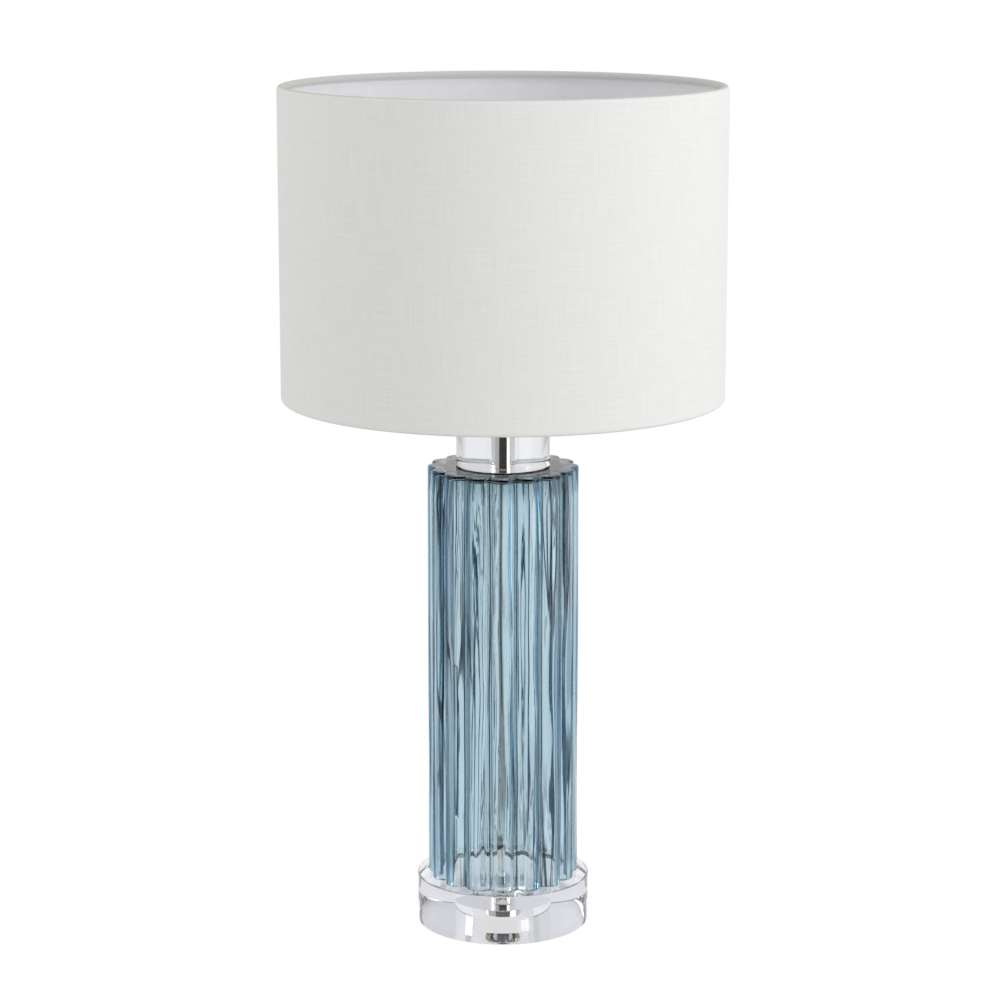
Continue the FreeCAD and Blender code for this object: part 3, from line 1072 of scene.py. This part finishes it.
    def build(self) -> List[bpy.types.Object]:
        """Returns:
            The glass tube, closed, with its hole for the stem, and the gasket that it stands on.
        """
        size = self.size
        tube = self.form("glass_column", self.rings(), self.TUBE_WANDER)
        low, high = size.bottom - size.gasket + size.gap, size.bottom - size.gap
        outer, inner = size.gasket_inset, size.gasket_inset + size.gasket_width
        corners = [(low, outer), (high, outer), (high, inner), (low, inner)]
        edges = [(level, inset, 0.0, 0.0) for level, inset in corners]
        gasket = self.form("gasket_fluted", edges, self.GASKET_WANDER)
        self.place(tube, "blue_glass", "column_glass")
        self.place(gasket, "clear_silicone", "lower_gasket")
        return [tube, gasket]


# ---- Stand ----


@dataclass(frozen=True)
class StandSize:
    """The clear discs and the stem between them, in millimetres."""

    foot_radius: float = 69.2
    foot_bottom: float = 1.5
    foot_top: float = 41.5
    foot_round: float = 1.0
    recess_radius: float = 25.5
    recess_top: float = 19.5
    hole: float = 7.0
    outlet: float = 4.5
    outlet_level: float = 10.5
    grommet_seat: float = 6.0
    grommet_flange: float = 1.5
    neck_radius: float = 37.2
    neck_bottom: float = 378.1
    neck_top: float = 418.1
    neck_round: float = 0.8
    sleeve_radius: float = 6.5
    sleeve_wall: float = 1.2
    backing_radius: float = 48.06
    backing_bottom: float = 373.0
    backing_top: float = 374.5
    cup_radius: float = 15.0
    cup_wall: float = 1.2
    cup_plate: float = 2.0
    cup_depth: float = 9.0
    cup_hole: float = 5.3
    washer_radius: float = 18.0
    washer_top: float = 420.1
    gasket_radius: float = 14.0
    gasket_bottom: float = 377.5
    pad_radius: float = 5.0
    pad_height: float = 1.5
    pad_circle: float = 58.0
    pads: int = 4
    pad_start: float = 45.0
    soft: float = 0.3
    fine: float = 0.2
    hair: float = 0.1
    cup_shoulder: float = 0.8
    cup_fillet: float = 0.6
    cup_lip: float = 0.4
    gap: float = 0.04
    ring_gap: float = 0.1
    drill_from: float = 5.0
    drill_past: float = 5.0
    disc_sides: int = 256
    ring_sides: int = 128
    pad_sides: int = 48
    ring_steps: int = 3
    cup_steps: int = 4


class Stand(Assembly):
    """The discs, the stem, the backing under the glass and the pads."""

    size: StandSize

    def foot(self) -> bpy.types.Object:
        """Returns:
            The clear foot with its recess, stem hole and cord outlet.
        """
        s = self.size
        corners = [
            (s.foot_radius, s.foot_bottom, s.foot_round), (s.foot_radius, s.foot_top, s.foot_round),
            (s.hole, s.foot_top, 0), (s.hole, s.recess_top, 0),
            (s.recess_radius, s.recess_top, 0), (s.recess_radius, s.foot_bottom, 0),
        ]
        piece = lathe("foot_clear", rounded(corners), s.disc_sides)
        past = s.foot_radius + s.drill_past
        bore(piece, s.outlet, s.outlet_level, s.drill_from, past)
        bore(piece, s.grommet_seat, s.outlet_level, s.foot_radius - s.grommet_flange, past)
        smooth(piece, SHARP)
        return self.place(piece, "clear_acrylic", "foot_disc")

    def neck(self) -> bpy.types.Object:
        """Returns:
            The clear neck disc.
        """
        s = self.size
        corners = [
            (s.neck_radius, s.neck_bottom, s.neck_round), (s.neck_radius, s.neck_top, s.neck_round),
            (s.hole, s.neck_top, 0), (s.hole, s.neck_bottom, 0),
        ]
        return self.place(lathe("neck_clear", rounded(corners), s.disc_sides), "clear_acrylic", "neck_disc")

    def stem(self) -> bpy.types.Object:
        """Returns:
            The polished sleeve round the threaded tube.
        """
        s = self.size
        inner = s.sleeve_radius - s.sleeve_wall
        corners = [
            (s.sleeve_radius, s.recess_top, s.soft), (s.sleeve_radius, s.neck_top, s.soft),
            (inner, s.neck_top, s.fine), (inner, s.recess_top, s.fine),
        ]
        piece = lathe("stem_sleeve_bright", rounded(corners, s.ring_steps), s.ring_sides)
        return self.place(piece, "polished_nickel", "stem_sleeve")

    def cup(self) -> bpy.types.Object:
        """Returns:
            The polished cup washer in the recess, a hair below its ceiling.
        """
        s = self.size
        top, low = s.recess_top - s.gap, s.recess_top - s.cup_depth
        under, bore_radius = s.recess_top - s.cup_plate, s.cup_radius - s.cup_wall
        corners = [
            (s.cup_radius, low, s.cup_lip), (s.cup_radius, top, s.cup_shoulder), (s.cup_hole, top, s.fine),
            (s.cup_hole, under, s.fine), (bore_radius, under, s.cup_fillet), (bore_radius, low, s.cup_lip),
        ]
        piece = lathe("cup_washer_bright", rounded(corners, s.cup_steps), s.ring_sides)
        return self.place(piece, "polished_nickel", "base_washer")

    def ring(self, name: str, radius: float, levels: Pair, slot: str, node: str) -> bpy.types.Object:
        """Args:
            name: the piece's name.
            radius: its outer radius.
            levels: its lower and upper level, all in millimetres.
            slot: its material slot.
            node: what it replaces.

        Returns:
            A flat ring round the stem, a hair clear of the discs.
        """
        s = self.size
        under, over, inner = levels[0] + s.gap, levels[1] - s.gap, s.hole + s.ring_gap
        corners = [
            (radius, under, s.fine), (radius, over, s.fine), (inner, over, s.hair), (inner, under, s.hair),
        ]
        return self.place(lathe(name, rounded(corners, s.ring_steps), s.ring_sides), slot, node)

    def pads(self) -> bpy.types.Object:
        """Returns:
            Four clear pads under the foot, set out in a circle by Geometry Nodes.
        """
        s = self.size
        high = s.pad_height - s.gap
        corners = [(0, 0, 0), (s.pad_radius, 0, s.soft), (s.pad_radius, high, s.soft), (0, high, 0)]
        pad = lathe("pads_clear", rounded(corners, s.ring_steps), s.pad_sides)
        tree = Rule("set_out", {
            "Count": s.pads, "Circle": s.pad_circle * MM, "Start": (0.0, 0.0, math.radians(s.pad_start)),
            "Material": self.looks["clear_silicone"],
        })
        circle = {"Vertices": tree.take("Count"), "Radius": tree.take("Circle")}
        ring = tree.out(tree.node("GeometryNodeMeshCircle", None, circle))
        turn = {"Geometry": ring, "Rotation": tree.take("Start")}
        turned = tree.out(tree.node("GeometryNodeTransform", None, turn))
        spread = {"Points": turned, "Instance": tree.take("Geometry")}
        tree.apply(pad, tree.node("GeometryNodeInstanceOnPoints", None, spread))
        return self.place(pad, "clear_silicone", "foot_pads")

    def backing(self) -> bpy.types.Object:
        """Returns:
            The dark disc bonded under the glass top.
        """
        s = self.size
        corners = [
            (s.backing_radius, s.backing_bottom, s.soft), (s.backing_radius, s.backing_top, s.soft),
            (s.hole, s.backing_top, 0), (s.hole, s.backing_bottom, 0),
        ]
        piece = lathe("backing_dark", rounded(corners, s.ring_steps), s.ring_sides)
        return self.place(piece, "black_rubber", "top_backing")

    def build(self) -> List[bpy.types.Object]:
        """Returns:
            The stand's pieces.
        """
        s = self.size
        low, high = (s.gasket_bottom, s.neck_bottom), (s.neck_top, s.washer_top)
        gasket = self.ring("gasket_upper", s.gasket_radius, low, "clear_silicone", "upper_gasket")
        washer = self.ring("neck_washer_bright", s.washer_radius, high, "polished_nickel", "neck_washer")
        made = [self.foot(), self.neck(), self.stem(), self.backing(), self.cup(), self.pads()]
        return [gasket, washer] + made


# ---- Shade ----


@dataclass(frozen=True)
class ShadeSize:
    """The drum shade, in millimetres."""

    radius: float = 175.0
    bottom: float = 431.7
    top: float = 677.7
    fabric: float = 0.6
    liner: float = 0.8
    hem_roll: float = 3.15
    hem_cloth: float = 0.6
    hem_tail: float = 6.0
    hem_inner: float = 3.2
    hem_steps: int = 20
    hem_step: float = 12.5
    hem_sharp: float = 60.0
    seam_width: float = 13.0
    seam_thickness: float = 0.5
    seam_azimuth: float = 108.0
    seam_sink: float = 0.02
    seam_slope: float = 6.0
    seam_columns: int = 10
    rows: int = 24
    sides: int = 256


class Shade(Assembly):
    """Linen over a stiff lining, rolled over a wire at both edges and lapped at the back."""

    body = Body.SHADE
    size: ShadeSize
    # The lap's weave starts this many metres from the drum's, so the threads don't run on.
    LAP_SHIFT = 3.3

    def skin(self, name: str, outer: float, thickness: float, slot: str, node: str) -> bpy.types.Object:
        """Args:
            name: the piece's name.
            outer: its outer radius.
            thickness: its thickness, both in millimetres.
            slot: its material slot.
            node: what it replaces.

        Returns:
            A thin upright tube between the two hems.
        """
        s = self.size
        low, high = s.bottom + s.hem_roll, s.top - s.hem_roll
        levels = [low + (high - low) * row / s.rows for row in range(s.rows + 1)]
        outline = [(outer, level) for level in levels]
        outline += [(outer - thickness, level) for level in reversed(levels)]
        return self.place(lathe(name, outline, s.sides), slot, node)

    def hem(self, name: str, edge: Edge, node: str) -> bpy.types.Object:
        """Args:
            name: the piece's name.
            edge: which edge of the drum.
            node: what it replaces.

        Returns:
            The cloth rolled over the wire, with its tail on the lining.
        """
        s = self.size
        inward = edge.value
        level = (s.bottom if edge is Edge.BOTTOM else s.top) + inward * s.hem_roll
        middle = s.radius - s.hem_roll
        lining = s.radius - s.fabric - s.liner
        tail = level + inward * s.hem_tail
        outline = [(lining, tail), (lining, level), (s.radius, level)]
        for step in range(1, s.hem_steps):
            angle = math.radians(s.hem_step * step)
            out, over = s.hem_roll * math.cos(angle), s.hem_roll * math.sin(angle)
            outline.append((middle + out, level - inward * over))
        outline += [(lining - s.hem_cloth, level + inward * s.hem_inner), (lining - s.hem_cloth, tail)]
        return self.place(lathe(name, outline, s.sides, s.hem_sharp), "shade_linen", node)

    def lap(self) -> bpy.types.Object:
        """Returns:
            The strip where the linen laps over itself, behind and to the left.
        """
        s = self.size
        low, high = s.bottom + s.hem_roll, s.top - s.hem_roll
        half = s.seam_width / 2 / s.radius
        start = math.radians(s.seam_azimuth)
        outline = []
        for column in range(s.seam_columns + 1):
            part = column / s.seam_columns * 2 - 1
            lift = s.seam_thickness * min(1.0, (1 - abs(part)) * s.seam_slope)
            outline.append((start + half * part, s.radius + lift))
        outline += [(angle, s.radius - s.seam_sink) for angle, _ in reversed(outline)]
        points: List[Triple] = []
        for row in range(s.rows + 1):
            level = low + (high - low) * row / s.rows
            points += [(r * math.cos(a) * MM, r * math.sin(a) * MM, level * MM) for a, r in outline]
        count = len(outline)
        faces = walls(s.rows + 1, count, False)
        faces += [tuple(reversed(range(count))), tuple(s.rows * count + column for column in range(count))]
        array = np.array(points)
        piece = mesh_object("shade_lap", array, outward(faces, array))
        layer = piece.data.uv_layers.new(name="weave")
        for loop in piece.data.loops:
            x, y, z = points[loop.vertex_index]
            layer.data[loop.index].uv = (math.atan2(y, x) * s.radius * MM + self.LAP_SHIFT, z)
        return self.place(piece, "shade_linen", "shade_seam")

    def build(self) -> List[bpy.types.Object]:
        """Returns:
            The shade's cloth pieces.
        """
        s = self.size
        cloth = self.skin("shade_cloth", s.radius, s.fabric, "shade_linen", "shade_fabric")
        lining = self.skin("shade_lining", s.radius - s.fabric, s.liner, "shade_lining", "shade_liner")
        hems = [self.hem("hem_top", Edge.TOP, "top_hem"), self.hem("hem_bottom", Edge.BOTTOM, "bottom_hem")]
        lap = self.lap()
        return [cloth, lining, *hems, lap]


# ---- Bulb ----


@dataclass(frozen=True)
class BulbSize:
    """The bulb's globe and collar, in millimetres."""

    radius: float = 30.0
    wall: float = 1.5
    top: float = 563.3
    rim_level: float = 503.8
    rim_radius: float = 24.0
    collar_bottom: float = 483.8
    cap_radius: float = 13.1
    seat: float = 0.75
    bulge: float = 0.06
    globe_rows: int = 28
    globe_sides: int = 128
    collar_rows: int = 12
    collar_sides: int = 96


class Bulb(Assembly):
    """The opal globe and the collar under it."""

    body = Body.BULB
    size: BulbSize
    # Angles above this, in radians, are the pole.
    NEAR_POLE = 1.57

    def arc(self, radius: float, angles: Sequence[float]) -> List[Pair]:
        """Args:
            radius: the sphere's radius in millimetres.
            angles: where the points lie on it, in radians above its middle. The last or first is the pole.

        Returns:
            The arc's points, with the pole on the axis.
        """
        centre = self.size.top - self.size.radius
        points: List[Pair] = []
        for angle in angles:
            across = radius * math.cos(angle) if angle < self.NEAR_POLE else 0.0
            points.append((across, centre + radius * math.sin(angle)))
        return points

    def globe(self) -> bpy.types.Object:
        """Returns:
            The opal globe, open at its rim.
        """
        s = self.size
        meet_radius = s.rim_radius + (s.radius - s.rim_radius) * s.seat
        low = -math.acos(meet_radius / s.radius)
        angles = [low + (math.pi / 2 - low) * row / s.globe_rows for row in range(s.globe_rows + 1)]
        outline: List[Pair] = [(s.rim_radius, s.rim_level)]
        outline += self.arc(s.radius, angles)
        outline += self.arc(s.radius - s.wall, list(reversed(angles)))
        outline.append((s.rim_radius - s.wall, s.rim_level))
        return self.place(lathe("bulb_globe_opal", outline, s.globe_sides), "opal_glass", "bulb_globe")

    def collar(self) -> bpy.types.Object:
        """Returns:
            The moulded collar, flaring from the cap to the globe.
        """
        s = self.size
        outer: List[Pair] = []
        for row in range(s.collar_rows + 1):
            part = row / s.collar_rows
            flare = part + s.bulge * math.sin(math.pi * part)
            level = s.collar_bottom + (s.rim_level - s.collar_bottom) * part
            outer.append((s.cap_radius + (s.rim_radius - s.cap_radius) * flare, level))
        inner = [(radius - s.wall, level) for radius, level in reversed(outer)]
        piece = lathe("bulb_collar_moulded", outer + inner, s.collar_sides)
        return self.place(piece, "bulb_plastic", "bulb_collar")

    def build(self) -> List[bpy.types.Object]:
        """Returns:
            The bulb's pieces.
        """
        return [self.globe(), self.collar()]


# ---- Studio ----


@dataclass(frozen=True)
class Light:
    """A soft area lamp."""

    name: str
    place: Triple
    aim: Triple
    watts: float
    size: float
    colour: Colour = (1.0, 1.0, 1.0)

    def build(self) -> bpy.types.Object:
        """Returns:
            The lamp.
        """
        data = bpy.data.lights.new(self.name, "AREA")
        data.energy, data.size, data.color = self.watts, self.size, self.colour
        lamp = bpy.data.objects.new(self.name, data)
        lamp.location = self.place
        lamp.rotation_euler = (Vector(self.aim) - Vector(self.place)).to_track_quat("-Z", "Y").to_euler()
        bpy.context.scene.collection.objects.link(lamp)
        return lamp


@dataclass(frozen=True)
class Studio:
    """A white room with a few dark and bright panels round it, a pale floor, lamps and the camera."""

    # The camera's place in metres, its tilt in degrees, and its lens as a multiple of the sensor's width.
    camera_place: Triple = (-0.0024, -2.323, 0.8295)
    camera_tilt: float = -11.68
    focal: float = 2.981
    sensor: float = 36.0
    sight: float = 50.0
    # The floor's edges in metres and its two greys.
    floor_front: float = -0.5
    floor_back: float = 4.0
    floor_half: float = 2.0
    floor_greys: Pair = (0.8, 0.78)
    floor_grain: float = 900.0
    # In the glass the floor's glow goes from white to a painted shade at the sides between these degrees
    # aside, apart from the floor that is nearer than floor_near metres. Right under the lamp the glow is
    # painted a little darker, a painted shadow.
    floor_white: Pair = (36.0, 58.0)
    floor_side_shade: float = 0.6
    floor_near: Pair = (0.16, 0.26)
    floor_shadow_reach: Pair = (0.03, 0.05)
    floor_painted_shadow: float = 0.8
    # Each edge between two panels: its azimuth and half width in degrees, and the level before and after it.
    panels: Tuple[Tuple[float, float, float, float], ...] = (
        (-150, 12, 0.96, 1.0), (-118, 8, 1.0, 0.65), (-41, 5, 0.65, 0.05),
        (41, 3, 0.05, 2.0), (75, 6, 2.0, 0.75), (118, 10, 0.75, 0.88),
    )
    ceiling: float = 0.7
    ceiling_edge: Pair = (0.55, 0.8)
    ambient: float = 0.78
    mirror_loss: float = 0.07
    bounces: int = 24
    glossy_bounces: int = 8
    lamps: Tuple[Light, ...] = (
        Light("key", (1.6, -0.75, 1.1), (0, 0, 0.5), 9.8, 0.8, (0.95, 0.97, 1.0)),
        Light("fill", (-1.7, 0.5, 0.9), (0, 0, 0.5), 3.0, 0.8),
    )

    def world(self) -> None:
        """Makes the white surroundings, with the panels seen only by reflections and refractions."""
        world = bpy.data.worlds.new("studio")
        world.use_nodes = True
        bpy.context.scene.world = world
        tree = Tree(world.node_tree)
        east, north, up = tree.separate(tree.out(tree.node("ShaderNodeTexCoord"), "Generated"))
        azimuth = tree.math("ARCTAN2", east, -north) * (180 / math.pi)
        level: Value = self.panels[0][2]
        for centre, half, before, after in self.panels:
            level = tree.remap(azimuth, (centre - half, centre + half), (0.0, after - before), True) + level
        high = tree.remap(up, self.ceiling_edge, (0.0, 1.0), True)
        level = level * (1.0 - high) + high * self.ceiling
        path = tree.node("ShaderNodeLightPath")
        seen = tree.out(path, "Is Camera Ray")
        soft = tree.out(path, "Is Diffuse Ray")
        level = level * (1.0 - tree.out(path, "Is Glossy Ray") * self.mirror_loss)
        level = level + seen * (1.0 - level)
        level = level + soft * (self.ambient - level)
        back = tree.node("ShaderNodeBackground", None, {"Color": (1, 1, 1, 1), "Strength": level})
        tree.node("ShaderNodeOutputWorld", None, {"Surface": tree.out(back)})

    def floor(self) -> bpy.types.Object:
        """Returns:
            A pale floor that is white to the camera, glows white in the glass with painted shade at the sides
            and a painted shadow under the lamp, and takes soft shadows.
        """
        front, back, half = self.floor_front, self.floor_back, self.floor_half
        points = np.array([(-half, front, 0), (half, front, 0), (half, back, 0), (-half, back, 0)], float)
        piece = mesh_object("floor", points, [(0, 1, 2, 3)])
        surface = Surface("floor_paper")
        pale, dark = ((grey, grey, grey) for grey in self.floor_greys)
        grain = surface.noise(surface.place(), self.floor_grain)
        surface.set(Base_Color=surface.mix(grain, pale, dark), Roughness=1.0, Specular_IOR_Level=0.0)
        path = surface.node("ShaderNodeLightPath")
        direct = surface.out(path, "Is Camera Ray")
        bent, mirrored = surface.out(path, "Is Transmission Ray"), surface.out(path, "Is Glossy Ray")
        seen = surface.greatest(direct, bent, mirrored)
        east, north, _ = surface.separate(surface.place())
        # Painted shade at the sides and a painted shadow under the lamp, in the glow that glass and mirrors
        # see.
        aside = surface.math("ARCTAN2", abs(east), north) * (180 / math.pi)
        level = surface.remap(aside, self.floor_white, (1.0, self.floor_side_shade), True)
        reach = surface.reach(east, north)
        near = surface.remap(reach, self.floor_near, (1.0, 0.0), True)
        under = surface.remap(reach, self.floor_shadow_reach, (self.floor_painted_shadow, 1.0), True)
        level = surface.greatest(surface.greatest(level, near) * under, direct)
        shown = surface.mix(level, (0.0, 0.0, 0.0), (1.0, 1.0, 1.0))
        glow = surface.node("ShaderNodeEmission", None, {"Color": shown, "Strength": 1.0})
        shaders = {0: seen, 1: surface.out(surface.shader), 2: surface.out(glow)}
        both = surface.node("ShaderNodeMixShader", None, shaders)
        surface.tree.links.new(both.outputs[0], surface.output.inputs["Surface"])
        piece.data.materials.append(surface.material)
        return piece

    def camera(self) -> bpy.types.Object:
        """Returns:
            The camera, at the photograph's angle.
        """
        data = bpy.data.cameras.new("camera")
        data.sensor_width, data.lens, data.clip_end = self.sensor, self.focal * self.sensor, self.sight
        made = bpy.data.objects.new("camera", data)
        made.location = self.camera_place
        made.rotation_euler = (math.radians(90 + self.camera_tilt), 0, 0)
        bpy.context.scene.collection.objects.link(made)
        bpy.context.scene.camera = made
        return made

    def build(self) -> None:
        """Sets up the view, the room and the lamps."""
        scene = bpy.context.scene
        scene.view_settings.view_transform = "Standard"
        scene.cycles.max_bounces = self.bounces
        scene.cycles.transmission_bounces = self.bounces
        scene.cycles.glossy_bounces = self.glossy_bounces
        self.world()
        self.floor()
        self.camera()
        for lamp in self.lamps:
            lamp.build()


def paint_nodes(looks: Looks) -> List[bpy.types.Object]:
    """Gives the CAD nodes that stay in view their finishes.

    Args:
        looks: the materials by slot.

    Returns:
        Those nodes.
    """
    slots = {part["node"]: part["material_slot"] for part in frame["record"]["subparts"]}
    painted = []
    for name, node in frame["nodes"].items():
        if node.hide_render:
            continue
        node.data.materials.clear()
        node.data.materials.append(looks[slots[name]])
        painted.append(node)
    return painted


def main() -> None:
    """Builds the lamp's looks in order, then the studio round it."""
    logging.basicConfig(level=logging.INFO, format="%(name)s: %(message)s")
    looks = finishes()
    groups = [
        GlassColumn(looks, ColumnSize()), Stand(looks, StandSize()), Shade(looks, ShadeSize()),
        Bulb(looks, BulbSize()),
    ]
    pieces: List[bpy.types.Object] = []
    for group in groups:
        pieces += group.build()
    pieces += paint_nodes(looks)
    for piece in pieces:
        log.info("%s: %d faces, %s", piece.name, len(piece.data.polygons), piece.data.materials[0].name)
    Studio().build()


if __name__ == "__main__":
    main()
